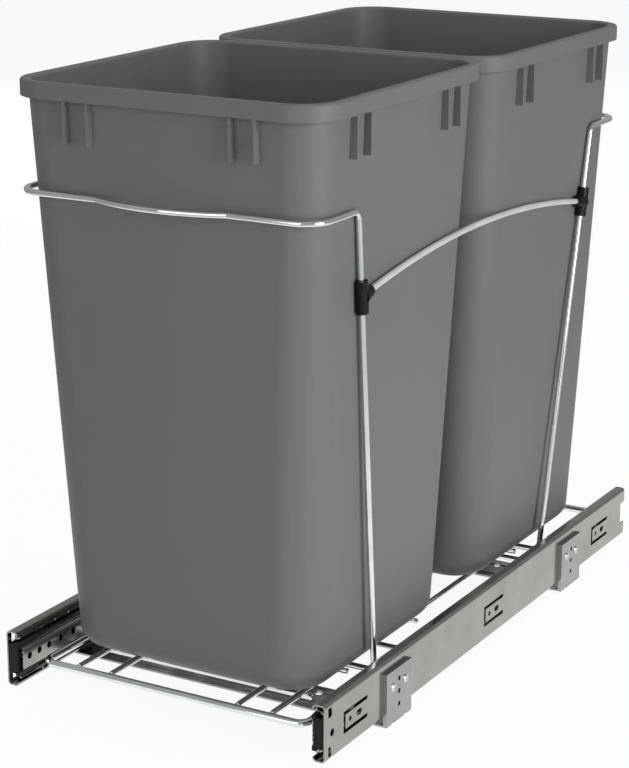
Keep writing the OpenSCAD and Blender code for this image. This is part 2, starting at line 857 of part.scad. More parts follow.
// One level of a bin: a rounded rectangle drawn in from the rim by an inset
function bin_level(inset, z, corner_r, y) =
    let (hx = bin_w / 2 - inset - corner_r, hy = bin_d / 2 - inset - corner_r)
    [for (q = [0:3], k = [0:bin_corner_steps])
        let (
            a = 90 * (q + k / bin_corner_steps),
            cx = (q == 0 || q == 3) ? hx : -hx,
            cy = q < 2 ? hy : -hy)
        [cx + corner_r * cos(a), y + cy + corner_r * sin(a), z]];
function foot_levels(inset, z, corner_r, edge_r, y) =
    [for (k = [0:bin_foot_steps])
        let (a = 90 * k / bin_foot_steps, in = edge_r * (1 - sin(a)))
        bin_level(inset + in, z + edge_r * (1 - cos(a)), corner_r - in, y)];
function bin_levels(y) =
    let (
        foot_in = rim_out + bin_lean,
        half_edge = bin_edge_r * (1 - cos(45)),
        top_in = rim_out + bin_wall)
    concat(
        foot_levels(foot_in, bin_bottom_z, bin_foot_corner_r, bin_foot_r, y),
        [bin_level(rim_out, rim_top_z - bin_lip_t, rim_corner_r - rim_out, y),
            bin_level(bin_lip_t, rim_top_z - bin_lip_t, rim_corner_r - bin_lip_t, y),
            bin_level(bin_lip_t, rim_top_z - rim_h, rim_corner_r - bin_lip_t, y),
            bin_level(0, rim_top_z - rim_h, rim_corner_r, y),
            bin_level(0, rim_top_z - bin_edge_r, rim_corner_r, y),
            bin_level(half_edge, rim_top_z - half_edge, rim_corner_r - half_edge, y),
            bin_level(bin_edge_r, rim_top_z, rim_corner_r - bin_edge_r, y),
            bin_level(top_in - bin_edge_r, rim_top_z, rim_corner_r - top_in + bin_edge_r, y),
            bin_level(top_in - half_edge, rim_top_z - half_edge, rim_corner_r - top_in + half_edge, y),
            bin_level(top_in, rim_top_z - bin_edge_r, rim_corner_r - top_in, y)],
        backwards(foot_levels(foot_in + bin_wall, bin_bottom_z + bin_wall, bin_foot_corner_r - bin_wall,
            bin_foot_r - bin_wall, y)));

// A fin under the rim of a wall that faces +X, half_w from the bin's middle
module fin(half_w, along_wall) {
    low = rim_top_z - rim_h - fin_h;
    wall_in = rim_out + bin_lean * (rim_h + fin_h) / bin_h + fin_root;
    translate([half_w - wall_in, along_wall - fin_t / 2, low])
        cube([wall_in - fin_inset, fin_t, fin_h + rim_h - bin_lip_t / 2]);
}

module bin(i) {
    color(bin_grey) placed() {
        skin(bin_levels(bin_y(i)), false);
        translate([0, bin_y(i), 0]) for (pair = [-1, 1], step = [-1, 1], turn = [0, 180]) {
            place = pair * fin_pair_pitch / 2 + step * fin_pitch / 2;
            rotate([0, 0, turn]) fin(bin_w / 2, place);
            rotate([0, 0, turn + 90]) fin(bin_d / 2, place);
        }
    }
}

module bin_front() {
    bin(0);
}

module bin_rear() {
    bin(1);
}

outer_slide_left();
outer_slide_right();
front_cross_plate();
rear_cross_plate();
ear_rivets();
middle_slide_left();
middle_slide_right();
outer_cage_left();
outer_cage_right();
outer_balls_left();
outer_balls_right();
inner_cage_left();
inner_cage_right();
inner_balls_left();
inner_balls_right();
inner_slide_left();
inner_slide_right();
slide_bumper_left();
slide_bumper_right();
base_ring();
floor_wire_1();
floor_wire_2();
floor_wire_3();
floor_wire_4();
under_wire_1();
under_wire_2();
under_wire_3();
under_wire_4();
rest_wire_front();
rest_wire_rear();
front_loop();
rear_loop();
side_brace_left();
side_brace_right();
tee_front_left();
tee_front_right();
tee_rear_left();
tee_rear_right();
mounting_tab_front_left();
mounting_tab_front_right();
mounting_tab_rear_left();
mounting_tab_rear_right();
tab_screws();
bin_front();
bin_rear();
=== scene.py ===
"""Studio scene of a pull-out waste unit: two bins in a wire cradle on ball slides.

X is the width, Y the depth with the front at -Y, Z is up from the floor. Lengths are metres.
"""

import json
import logging
import math
from dataclasses import dataclass, field
from enum import Enum
from typing import Iterable, Optional, Sequence, Union

import bmesh
import bpy
from mathutils import Matrix, Vector


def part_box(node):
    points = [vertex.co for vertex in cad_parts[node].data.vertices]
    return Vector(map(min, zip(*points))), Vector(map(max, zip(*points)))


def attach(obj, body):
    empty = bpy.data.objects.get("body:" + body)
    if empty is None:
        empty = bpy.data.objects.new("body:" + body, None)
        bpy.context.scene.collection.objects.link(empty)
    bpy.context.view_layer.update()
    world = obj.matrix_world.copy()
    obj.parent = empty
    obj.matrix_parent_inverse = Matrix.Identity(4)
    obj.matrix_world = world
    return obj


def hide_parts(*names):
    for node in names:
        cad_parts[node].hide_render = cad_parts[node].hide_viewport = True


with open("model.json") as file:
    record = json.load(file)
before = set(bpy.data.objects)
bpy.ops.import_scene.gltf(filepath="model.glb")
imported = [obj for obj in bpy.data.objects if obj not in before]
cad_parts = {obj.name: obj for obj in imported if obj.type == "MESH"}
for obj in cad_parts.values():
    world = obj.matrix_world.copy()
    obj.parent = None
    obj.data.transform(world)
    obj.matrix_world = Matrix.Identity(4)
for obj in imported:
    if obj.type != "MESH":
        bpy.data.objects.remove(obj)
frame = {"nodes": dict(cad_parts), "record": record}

MM = 0.001
LOG = logging.getLogger("waste_unit")

Point = Union[Vector, Sequence[float]]
Colour = tuple[float, float, float]
Pair = tuple[float, float]
Outline = tuple[Pair, ...]


class Place(Enum):
    """A place in the unit that the nodes' names spell in lower case."""

    @property
    def word(self) -> str:
        """The place as the nodes are named."""
        return self.name.lower()


class Side(Place):
    """The two sides of the unit, as the sign of X."""

    LEFT = -1
    RIGHT = 1


class Row(Place):
    """The front and the rear half of the unit, as an index."""

    FRONT = 0
    REAR = 1


# Shader maths


class Socket:
    """A shader node's output that Python expressions calculate with."""

    def __init__(self, graph: "Graph", output: bpy.types.NodeSocket) -> None:
        """Wraps an output of one of the graph's nodes."""
        self.graph = graph
        self.output = output

    def _math(self, operation: str, first: "Number", second: "Number" = 0.0) -> "Socket":
        """The result of a Math node on two values."""
        return self.graph.node("ShaderNodeMath", {"operation": operation}, {0: first, 1: second})

    def __add__(self, other: "Number") -> "Socket":
        """Sum."""
        return self._math("ADD", self, other)

    def __sub__(self, other: "Number") -> "Socket":
        """Difference."""
        return self._math("SUBTRACT", self, other)

    def __mul__(self, other: "Number") -> "Socket":
        """Product."""
        return self._math("MULTIPLY", self, other)

    def __rsub__(self, other: "Number") -> "Socket":
        """Difference from a plain number."""
        return self._math("SUBTRACT", other, self)

    __radd__ = __add__
    __rmul__ = __mul__

    def lowest(self, other: "Number") -> "Socket":
        """The lower of two values."""
        return self._math("MINIMUM", self, other)

    def highest(self, other: "Number") -> "Socket":
        """The higher of two values."""
        return self._math("MAXIMUM", self, other)

    def spread(self, low: float, high: float) -> "Socket":
        """Stretches low to high over 0 to 1, smoothly and clamped."""
        settings = {"interpolation_type": "SMOOTHSTEP", "clamp": True}
        return self.graph.node("ShaderNodeMapRange", settings, {0: self, 1: low, 2: high, 3: 0.0, 4: 1.0})


Number = Union[Socket, float]
Input = Union[Socket, float, Sequence[float]]


class Graph:
    """The node tree of one material or world."""

    def __init__(self, owner: Union[bpy.types.Material, bpy.types.World]) -> None:
        """Empties the owner's tree.

        Args:
            owner: The material or world that the nodes go into.
        """
        owner.use_nodes = True
        self.tree = owner.node_tree
        self.tree.nodes.clear()

    def node(self, kind: str, settings: Optional[dict[str, object]] = None,
             inputs: Optional[dict[Union[int, str], Input]] = None,
             output: Union[int, str] = 0) -> Socket:
        """Adds one node.

        Args:
            kind: The node's type.
            settings: What is set on the node before its sockets.
            inputs: Values or links of its input sockets.
            output: The output socket that is wanted.

        Returns:
            That output.
        """
        made = self.tree.nodes.new(kind)
        for name, value in (settings or {}).items():
            setattr(made, name, value)
        for key, value in (inputs or {}).items():
            if isinstance(value, Socket):
                self.tree.links.new(value.output, made.inputs[key])
            else:
                made.inputs[key].default_value = value
        return Socket(self, made.outputs[output])

    def noise(self, scale: float, detail: float = 3.0, stretch: Point = (1, 1, 1)) -> Socket:
        """Noise on object coordinates.

        Args:
            scale: Lumps per metre.
            detail: Octaves.
            stretch: The scale along each axis.

        Returns:
            The noise, about 0.5.
        """
        spot = self.node("ShaderNodeTexCoord", output="Object")
        mapped = self.node("ShaderNodeMapping", None, {"Vector": spot, "Scale": tuple(stretch)})
        return self.node("ShaderNodeTexNoise", None, {"Vector": mapped, "Scale": scale, "Detail": detail})

    def mix(self, share: Number, first: Colour, second: Colour) -> Socket:
        """Mixes two colours by the share of the second."""
        # 6 and 7 are the node's colour inputs, and 2 its colour output
        inputs = {0: share, 6: (*first, 1.0), 7: (*second, 1.0)}
        return self.node("ShaderNodeMix", {"data_type": "RGBA"}, inputs, 2)

    def bump(self, height: Socket, depth: float, strength: float) -> Socket:
        """The bump normal of a height from 0 to 1, whose full depth is in metres."""
        inputs = {"Height": height, "Distance": depth, "Strength": strength}
        return self.node("ShaderNodeBump", None, inputs)

    def surface(self, inputs: dict[str, Input]) -> None:
        """Ends the tree in a Principled shader with these values and links."""
        shader = self.node("ShaderNodeBsdfPrincipled", None, inputs, "BSDF")
        self.node_out(shader, "ShaderNodeOutputMaterial")

    def node_out(self, shader: Socket, kind: str) -> None:
        """Links a shader to a new output node of some kind."""
        out = self.tree.nodes.new(kind)
        self.tree.links.new(shader.output, out.inputs["Surface"])


@dataclass(frozen=True)
class Finish:
    """A surface finish, made once as a material and shared by its pieces."""

    slot: str
    colour: Colour
    roughness: float

    def material(self) -> bpy.types.Material:
        """The finish's material."""
        found = bpy.data.materials.get(f"finish_{self.slot}")
        if found is None:
            found = bpy.data.materials.new(f"finish_{self.slot}")
            self.dress(Graph(found))
        return found

    def shade(self, share: float) -> Colour:
        """The finish's colour, darker or lighter."""
        return tuple(share * c for c in self.colour)

    def dress(self, graph: Graph) -> None:
        """Builds the finish's nodes in a material's graph."""
        raise NotImplementedError


@dataclass(frozen=True)
class BinPlastic(Finish):
    """Moulded polypropylene with a fine satin texture, faint flow marks and dulled patches."""

    grain_per_metre: float = 1900.0
    flow_per_metre: float = 11.0
    flow_stretch: Point = (1, 1, 0.25)
    flow_band: Pair = (0.35, 0.7)
    clouds_per_metre: float = 5.0
    cloud_band: Pair = (0.3, 0.75)
    cloud_share: float = 0.4
    darkest: float = 0.96
    lightest: float = 1.03
    dulling: float = 0.05
    specular: float = 0.35
    grain_depth: float = 0.03 * MM
    grain_strength: float = 0.22

    def dress(self, graph: Graph) -> None:
        """Builds the finish's nodes.

        Args:
            graph: The material's graph.
        """
        grain = graph.noise(self.grain_per_metre, detail=2.0)
        flow = graph.noise(self.flow_per_metre, stretch=self.flow_stretch).spread(*self.flow_band)
        cloud = graph.noise(self.clouds_per_metre, detail=2.0).spread(*self.cloud_band)
        share = flow * (1 - self.cloud_share) + cloud * self.cloud_share
        graph.surface({
            "Base Color": graph.mix(share, self.shade(self.darkest), self.shade(self.lightest)),
            "Roughness": self.roughness + grain * self.dulling + cloud * self.dulling,
            "Specular IOR Level": self.specular,
            "Normal": graph.bump(grain, self.grain_depth, self.grain_strength),
        })


@dataclass(frozen=True)
class NylonPlastic(Finish):
    """Black moulded nylon, a little glossy, with a fine skin."""

    skin_per_metre: float = 900.0
    patches_per_metre: float = 120.0
    patch_band: Pair = (0.35, 0.7)
    darkest: float = 0.7
    dulling: float = 0.12
    specular: float = 0.22
    skin_depth: float = 0.03 * MM
    skin_strength: float = 0.2

    def dress(self, graph: Graph) -> None:
        """Builds the finish's nodes.

        Args:
            graph: The material's graph.
        """
        skin = graph.noise(self.skin_per_metre)
        patch = graph.noise(self.patches_per_metre, detail=2.0).spread(*self.patch_band)
        graph.surface({
            "Base Color": graph.mix(patch, self.shade(self.darkest), self.colour),
            "Roughness": self.roughness + patch * self.dulling,
            "Specular IOR Level": self.specular,
            "Normal": graph.bump(skin, self.skin_depth, self.skin_strength),
        })


@dataclass(frozen=True)
class Plating(Finish):
    """Plated steel: drawn lines, along Y unless stretched otherwise, soft clouding and specks."""

    line_depth: float = 0.1
    clouding: float = 0.1
    line_stretch: Point = (60, 1.5, 60)
    metallic: float = 1.0
    lines_per_metre: float = 30.0
    clouds_per_metre: float = 28.0
    cloud_band: Pair = (0.3, 0.72)
    cloud_share: float = 0.7
    specks_per_metre: float = 420.0
    darkest: float = 0.82
    least_roughness: float = 0.03
    line_share: float = 0.6
    relief: float = 0.02 * MM
    relief_strength: float = 0.1

    def dress(self, graph: Graph) -> None:
        """Builds the finish's nodes.

        Args:
            graph: The material's graph.
        """
        lines = graph.noise(self.lines_per_metre, stretch=self.line_stretch)
        cloud = graph.noise(self.clouds_per_metre).spread(*self.cloud_band)
        specks = graph.noise(self.specks_per_metre, detail=2.0)
        share = cloud * self.cloud_share + specks * (1 - self.cloud_share)
        rough = self.roughness + cloud * self.clouding + (lines - 0.5) * self.line_depth
        height = lines * self.line_share + specks * (1 - self.line_share)
        graph.surface({
            "Base Color": graph.mix(share, self.colour, self.shade(self.darkest)),
            "Metallic": self.metallic,
            "Roughness": rough.highest(self.least_roughness),
            "Normal": graph.bump(height, self.relief, self.relief_strength),
        })


class Finishes:
    """Every finish of the unit, by its slot in the record."""

    bin = BinPlastic("bin_plastic", (0.17, 0.17, 0.17), 0.46)
    nylon = NylonPlastic("black_plastic", (0.006, 0.006, 0.006), 0.36)
    zinc = Plating("zinc_steel", (0.375, 0.375, 0.37), 0.17, line_depth=0.06, clouding=0.05)
    dull = Plating("dull_steel", (0.39, 0.39, 0.39), 0.2, line_depth=0.05, clouding=0.06,
                   line_stretch=(1.5, 60, 60))
    rivet = Plating("rivet_steel", (0.78, 0.78, 0.77), 0.2, line_depth=0.04, clouding=0.06)
    ball = Plating("ball_steel", (0.8, 0.8, 0.81), 0.08, line_depth=0.0, clouding=0.02)
    wire = Plating("chrome_wire", (0.88, 0.885, 0.89), 0.04, line_depth=0.02, clouding=0.04)
    satin = Plating("satin_wire", (0.88, 0.88, 0.88), 0.4, line_depth=0.04, clouding=0.04, metallic=0.5)


# Shapes


def add_object(name: str, data: bpy.types.ID) -> bpy.types.Object:
    """Puts a new object into the scene.

    Args:
        name: Its name.
        data: Its mesh, lamp or camera.

    Returns:
        The object.
    """
    made = bpy.data.objects.new(name, data)
    bpy.context.scene.collection.objects.link(made)
    return made


def loop_edges(result: dict) -> list[bmesh.types.BMEdge]:
    """The edges in the result of an extrude or spin operator."""
    geometry = result.get("geom") or result.get("geom_last")
    return [g for g in geometry if isinstance(g, bmesh.types.BMEdge)]


def loop_verts(edges: Iterable[bmesh.types.BMEdge]) -> list[bmesh.types.BMVert]:
    """The vertices of some edges, each once."""
    return list(dict.fromkeys(v for e in edges for v in e.verts))


@dataclass(frozen=True)
class Level:
    """A rounded rectangle at a height."""

    half_x: float
    half_y: float
    height: float
    corner: float

    def corner_point(self, quarter: int, step: int, steps: int) -> Vector:
        """A point on one of its corners.

        Args:
            quarter: Which corner, 0 to 3 from +X +Y.
            step: Which point of the corner.
            steps: Faces round the corner.

        Returns:
            The point, from the rectangle's middle at height 0.
        """
        turn = math.radians(90 * (quarter + step / steps))
        across = 1 if quarter in (0, 3) else -1
        along = 1 if quarter < 2 else -1
        return Vector((across * (self.half_x - self.corner) + self.corner * math.cos(turn),
                       along * (self.half_y - self.corner) + self.corner * math.sin(turn), self.height))


class Shape:
    """One piece under construction."""

    weld_within = 0.002 * MM

    def __init__(self) -> None:
        """Starts with nothing in the mesh."""
        self.mesh = bmesh.new()

    def cylinder(self, at: Point, way: Point, length: float, radius: float, sides: int,
                 round_by: float) -> None:
        """Adds a cylinder with its rims rounded.

        Args:
            at: The middle of its first end.
            way: The direction that it runs in.
            length: Its length.
            radius: Its radius.
            sides: How many sides it has, more than four.
            round_by: Radius of its rounded rims.
        """
        turn = Vector(way).to_track_quat("Z", "Y").to_matrix().to_4x4()
        place = Matrix.Translation(Vector(at)) @ turn @ Matrix.Translation((0, 0, length / 2))
        made = bmesh.ops.create_cone(self.mesh, cap_ends=True, segments=sides, radius1=radius,
                                     radius2=radius, depth=length, matrix=place)
        self.round_edges({e for v in made["verts"] for e in v.link_edges
                          if any(len(f.verts) == sides for f in e.link_faces)}, round_by)

    def box(self, low: Point, high: Point, round_by: float, turn: Matrix = Matrix()) -> None:
        """Adds a box with its edges rounded.

        Args:
            low: Its lowest corner.
            high: Its highest corner.
            round_by: Radius of its rounded edges.
            turn: A turn or shift of the finished box.
        """
        low, high = Vector(low), Vector(high)
        size = high - low
        place = turn @ Matrix.Translation((low + high) / 2) @ Matrix.Diagonal((*size, 1))
        made = bmesh.ops.create_cube(self.mesh, size=1.0, matrix=place)
        self.round_edges({e for v in made["verts"] for e in v.link_edges}, round_by)

    def next_ring(self, ring: Sequence[bmesh.types.BMVert]) -> list[bmesh.types.BMVert]:
        """Extrudes a closed ring of vertices.

        Args:
            ring: The ring, in order.

        Returns:
            The new ring, in the same order and still in the same place.
        """
        held = set(ring)
        edges = list(dict.fromkeys(e for v in ring for e in v.link_edges if e.other_vert(v) in held))
        made = bmesh.ops.extrude_edge_only(self.mesh, edges=edges)["geom"]
        fresh = {g for g in made if isinstance(g, bmesh.types.BMVert)}
        return [next(e.other_vert(v) for e in v.link_edges if e.other_vert(v) in fresh) for v in ring]

    def lofted(self, centre: Point, levels: Sequence[Level], corner_steps: int) -> None:
        """Adds a closed body through rounded rectangles.

        Args:
            centre: The body's axis, at height 0.
            levels: The rectangles in order, from one closed end to the other.
            corner_steps: Faces round each corner.
        """
        ring = bmesh.ops.create_circle(self.mesh, cap_ends=False, segments=4 * (corner_steps + 1),
                                       radius=1.0)["verts"]
        for i, level in enumerate(levels):
            if i > 0:
                ring = self.next_ring(ring)
            for k, vert in enumerate(ring):
                vert.co = Vector(centre) + level.corner_point(*divmod(k, corner_steps + 1), corner_steps)
            if i in (0, len(levels) - 1):
                self.mesh.faces.new(ring)

    def round_edges(self, edges: Iterable[bmesh.types.BMEdge], by: float, segments: int = 3) -> None:
        """Rounds some edges by a radius, with some faces across each."""
        bmesh.ops.bevel(self.mesh, geom=list(edges), offset=by, offset_type="OFFSET", segments=segments,
                        profile=0.5, affect="EDGES", clamp_overlap=True, material=-1)

    def spun(self, outline: Outline, at: Point, way: Point, steps: int) -> None:
        """Adds a turned shape, such as a rivet's head.

        Args:
            outline: Radius and height of each point in millimetres, the first and last on the axis.
            at: Where height 0 is on the axis.
            way: The direction of the axis.
            steps: How many steps round.
        """
        turn = Matrix.Translation(Vector(at)) @ Vector(way).to_track_quat("Z", "Y").to_matrix().to_4x4()
        verts = [self.mesh.verts.new(turn @ Vector((r * MM, 0, h * MM))) for r, h in outline]
        edges = [self.mesh.edges.new(ends) for ends in zip(verts, verts[1:])]
        bmesh.ops.spin(self.mesh, geom=verts + edges, cent=Vector(at), axis=Vector(way).normalized(),
                       angle=2 * math.pi, steps=steps, use_merge=True)

    def bead(self, at: Point, radius: float, flatness: float = 0.75) -> None:
        """Adds a small weld, flattened to a share of its width."""
        place = Matrix.Translation(Vector(at)) @ Matrix.Diagonal((radius, radius, flatness * radius, 1))
        bmesh.ops.create_icosphere(self.mesh, subdivisions=2, radius=1.0, matrix=place)

    def piece(self, name: str, finish: Finish, body: str, replaces: Sequence[str] = (),
              smooth_deg: float = 35.0) -> None:
        """Ends the mesh as an object that rides on a body.

        Args:
            name: The piece's name.
            finish: Its finish.
            body: The body that it moves with.
            replaces: The nodes that it stands for.
            smooth_deg: Edges sharper than this stay sharp.
        """
        bmesh.ops.remove_doubles(self.mesh, verts=self.mesh.verts, dist=self.weld_within)
        bmesh.ops.recalc_face_normals(self.mesh, faces=self.mesh.faces)
        for face in self.mesh.faces:
            face.smooth = True
        for edge in self.mesh.edges:
            edge.smooth = edge.calc_face_angle(0.0) < math.radians(smooth_deg)
        data = bpy.data.meshes.new(name)
        self.mesh.to_mesh(data)
        self.mesh.free()
        made = add_object(name, data)
        data.materials.append(finish.material())
        even = made.modifiers.new("even_shading", "WEIGHTED_NORMAL")
        even.keep_sharp = True
        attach(made, body)
        if replaces:
            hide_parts(*replaces)
        LOG.info("%s on %s, %d faces", name, body, len(data.polygons))


class FramePart(Shape):
    """A copy of a packed node's mesh, merged, with its sharp edges broken as a deburred part's are."""

    merge_within = 0.01 * MM
    flat_deg = 0.5

    def __init__(self, node: str, edge_break: float, corner_deg: float = 40.0, segments: int = 2) -> None:
        """Copies and cleans the node's mesh.

        Args:
            node: The node.
            edge_break: Radius of the broken edges.
            corner_deg: Edges sharper than this are broken.
            segments: Faces across each broken edge.
        """
        super().__init__()
        self.mesh.from_mesh(frame["nodes"][node].data)
        bmesh.ops.remove_doubles(self.mesh, verts=self.mesh.verts, dist=self.merge_within)
        bmesh.ops.dissolve_limit(self.mesh, angle_limit=math.radians(self.flat_deg),
                                 use_dissolve_boundaries=False,
                                 verts=self.mesh.verts, edges=self.mesh.edges)
        sharp = [e for e in self.mesh.edges if e.calc_face_angle(0.0) > math.radians(corner_deg)]
        self.round_edges(sharp, edge_break, segments)


class WireBender(Shape):
    """Draws a round wire as a bending machine does, with straight feeds and true bends."""

    step_deg = 7.5
    wide_bend = 50 * MM
    wide_step_deg = 2.0
    least_steps = 2
    least_feed = 0.001 * MM
    least_turn = 1e-4

    def __init__(self, radius: float, sides: int = 20) -> None:
        """Sets the wire's size.

        Args:
            radius: The wire's radius.
            sides: Sides of its section.
        """
        super().__init__()
        self.radius = radius
        self.sides = sides
        self.ring: list[bmesh.types.BMEdge] = []
        self.at = Vector()
        self.way = Vector()

    def start(self, at: Point, way: Point) -> None:
        """Begins a new wire.

        Args:
            at: Where its centre line begins.
            way: The direction that it runs in.
        """
        self.at, self.way = Vector(at), Vector(way).normalized()
        place = Matrix.Translation(self.at) @ self.way.to_track_quat("Z", "Y").to_matrix().to_4x4()
        made = bmesh.ops.create_circle(self.mesh, cap_ends=False, segments=self.sides, radius=self.radius,
                                       matrix=place)
        self.ring = list(dict.fromkeys(e for v in made["verts"] for e in v.link_edges))

    def feed(self, length: float) -> None:
        """Runs straight on.

        Args:
            length: How far.
        """
        if length < self.least_feed:
            return
        self.ring = loop_edges(bmesh.ops.extrude_edge_only(self.mesh, edges=self.ring))
        bmesh.ops.translate(self.mesh, verts=loop_verts(self.ring), vec=self.way * length)
        self.at = self.at + self.way * length

    def bend(self, towards: Point, radius: float, step_deg: float) -> None:
        """Bends until the wire runs in a new direction.

        Args:
            towards: The new direction.
            radius: Radius of the bend's centre line.
            step_deg: Largest turn of one step.
        """
        towards = Vector(towards).normalized()
        axis = self.way.cross(towards)
        turn = self.way.angle(towards)
        if turn < self.least_turn:
            return
        axis.normalize()
        centre = self.at + axis.cross(self.way) * radius
        steps = max(self.least_steps, math.ceil(turn / math.radians(step_deg)))
        self.ring = loop_edges(bmesh.ops.spin(self.mesh, geom=self.ring, cent=centre, axis=axis, angle=turn,
                                              steps=steps))
        self.at = centre + Matrix.Rotation(turn, 3, axis) @ (self.at - centre)
        self.way = towards

    def straight(self, start: Point, end: Point, round_by: float) -> None:
        """Draws a straight wire, its ends rounded by a radius."""
        start, end = Vector(start), Vector(end)
        self.cylinder(start, end - start, (end - start).length, self.radius, sides=self.sides,
                      round_by=round_by)

    def closed(self, corners: Sequence[Point], radii: Sequence[float]) -> None:
        """Draws a closed wire round some corners.

        Args:
            corners: The corners of its centre line.
            radii: The bend radius at each corner.
        """
        points = [Vector(c) for c in corners]
        first = (points[-1] + points[0]) / 2
        self.start(first, points[0] - points[-1])
        for i, (corner, radius) in enumerate(zip(points, radii)):
            towards = points[(i + 1) % len(points)] - corner
            cut = radius * math.tan(self.way.angle(towards) / 2)
            self.feed((corner - self.at).dot(self.way) - cut)
            self.bend(towards, radius, self.step_deg if radius < self.wide_bend else self.wide_step_deg)
        self.feed((first - self.at).dot(self.way))


# The unit's own parts


DEPTH = 559 * MM
# The cross plates' middles behind the slides' front end, and the slides' middle height, in millimetres
PLATE_DEPTHS = (108.05, 430.55)
SLIDE_HEIGHT = 29.1
BASE = "base"
CARRIAGE = "carriage"


def from_front(x: float, y: float, z: float) -> Vector:
    """A point given in millimetres with its depth from the slides' front end."""
    return Vector((x * MM, y * MM - DEPTH / 2, z * MM))


def either_side(pitch: float) -> Pair:
    """Two places that lie a pitch apart, evenly about 0."""
    return -pitch / 2, pitch / 2


@dataclass
class Bin:
    """A tapered bin: rounded foot with a raised panel, skirted rim, fins under the rim."""

    row: Row
    rim_out: float = 5.9 * MM
    wall: float = 2.2 * MM
    lean: float = 16.6 * MM
    skirt: float = 13.4 * MM
    lip: float = 2.2 * MM
    rim_corner: float = 33.7 * MM
    foot_corner: float = 35 * MM
    foot_round: float = 18 * MM
    edge_round: float = 2.0 * MM
    panel_inset: float = 30 * MM
    panel_rise: float = 0.9 * MM
    panel_corner_extra: float = 8 * MM
    # Each point of the panel's edge: its distance from the panel and its share of the rise
    panel_edge: Outline = ((0, 1), (0.4 * MM, 0.8), (1.8 * MM, 0.1), (2.4 * MM, 0))
    # Each point where wall and rim meet: how far inside the wall, how far below the rim, and the
    # growth of its corner
    wall_end: tuple[Point, ...] = ((0.05 * MM, 1.0 * MM, 0), (-0.3 * MM, 0.3 * MM, 0),
                                   (-1.0 * MM, 0, 1.0 * MM))
    fin_drop: float = 30 * MM
    fin_width: float = 2.0 * MM
    fin_inset: float = 0.8 * MM
    fin_root: float = 0.3 * MM
    fin_round: float = 0.2 * MM
    fin_pair_pitch: float = 140 * MM
    fin_pitch: float = 20 * MM
    corner_steps: int = 14
    round_steps: int = 10
    skirt_steps: int = 6
    edge_steps: int = 4
    smooth_deg: float = 40.0
    half_x: float = field(init=False)
    half_y: float = field(init=False)
    foot: float = field(init=False)
    top: float = field(init=False)
    middle: Vector = field(init=False)

    def __post_init__(self) -> None:
        """Takes the bin's place and outer size from its node."""
        low, high = (Vector(c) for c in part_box(f"bin_{self.row.word}"))
        self.half_x, self.half_y = (high.x - low.x) / 2, (high.y - low.y) / 2
        self.foot, self.top = low.z, high.z
        self.middle = Vector(((low.x + high.x) / 2, (low.y + high.y) / 2, 0))

    def _level(self, inset: float, height: float, corner: float) -> Level:
        """The bin's outline drawn in from the rim by an inset."""
        return Level(self.half_x - inset, self.half_y - inset, height, corner)

    def _foot_levels(self, inset: float, height: float, corner: float, rounding: float) -> list[Level]:
        """The rounding from the bottom face up into a wall.

        Args:
            inset: How far the wall's lower end lies inside the rim.
            height: Height of the bottom face.
            corner: Corner radius at the wall's lower end.
            rounding: Radius of the rounding.

        Returns:
            The levels, from the bottom upwards.
        """
        levels = []
        for k in range(self.round_steps + 1):
            turn = math.pi / 2 * k / self.round_steps
            pulled = rounding * (1 - math.sin(turn))
            levels.append(self._level(inset + pulled, height + rounding * (1 - math.cos(turn)),
                                      corner - pulled))
        return levels

    def _edge_levels(self, inset: float, height: float, rounding: float, start_deg: float,
                     end_deg: float, steps: int) -> list[Level]:
        """A rounded edge of the rim.

        Args:
            inset: Inset of the rounding's middle.
            height: Height of the rounding's middle.
            rounding: Its radius.
            start_deg: Direction of its first point, 0 outwards and 90 up.
            end_deg: Direction of its last point.
            steps: Faces across it.

        Returns:
            The levels, from the first point to the last.
        """
        levels = []
        for k in range(steps + 1):
            turn = math.radians(start_deg + (end_deg - start_deg) * k / steps)
            pulled = inset - rounding * math.cos(turn)
            levels.append(self._level(pulled, height + rounding * math.sin(turn),
                                      self.rim_corner - pulled))
        return levels

    def _bottom_levels(self) -> list[Level]:
        """The bottom's raised panel and the foot's rounding.

        Returns:
            The levels, from the panel outwards and up to the wall's lower end.
        """
        foot_in = self.rim_out + self.lean
        corner = self.foot_corner - self.panel_inset + foot_in + self.panel_corner_extra
        panel = [self._level(foot_in + self.panel_inset - out, self.foot + share * self.panel_rise, corner)
                 for out, share in self.panel_edge]
        return panel + self._foot_levels(foot_in, self.foot, self.foot_corner, self.foot_round)

    def _rim_levels(self) -> list[Level]:
        """The wall's upper end and the rim with its skirt.

        Returns:
            The levels, from the outer wall round the skirt and over the rim to the inner wall.
        """
        tip = self.lip / 2
        low = self.top - self.skirt
        under = self.top - self.lip
        high = self.top - self.edge_round
        inner_in = self.rim_out + self.wall
        wall_corner = self.rim_corner - self.rim_out
        return [
            *[self._level(self.rim_out + out, under - down, wall_corner + growth)
              for out, down, growth in self.wall_end],
            self._level(self.lip, under, self.rim_corner - self.lip),
            self._level(self.lip, low + tip, self.rim_corner - self.lip),
            *self._edge_levels(tip, low + tip, tip, -180, -360, self.skirt_steps)[1:-1],
            self._level(0, low + tip, self.rim_corner),
            *self._edge_levels(self.edge_round, high, self.edge_round, 0, 90, self.edge_steps),
            *self._edge_levels(inner_in - self.edge_round, high, self.edge_round, 90, 180,
                               self.edge_steps),
        ]

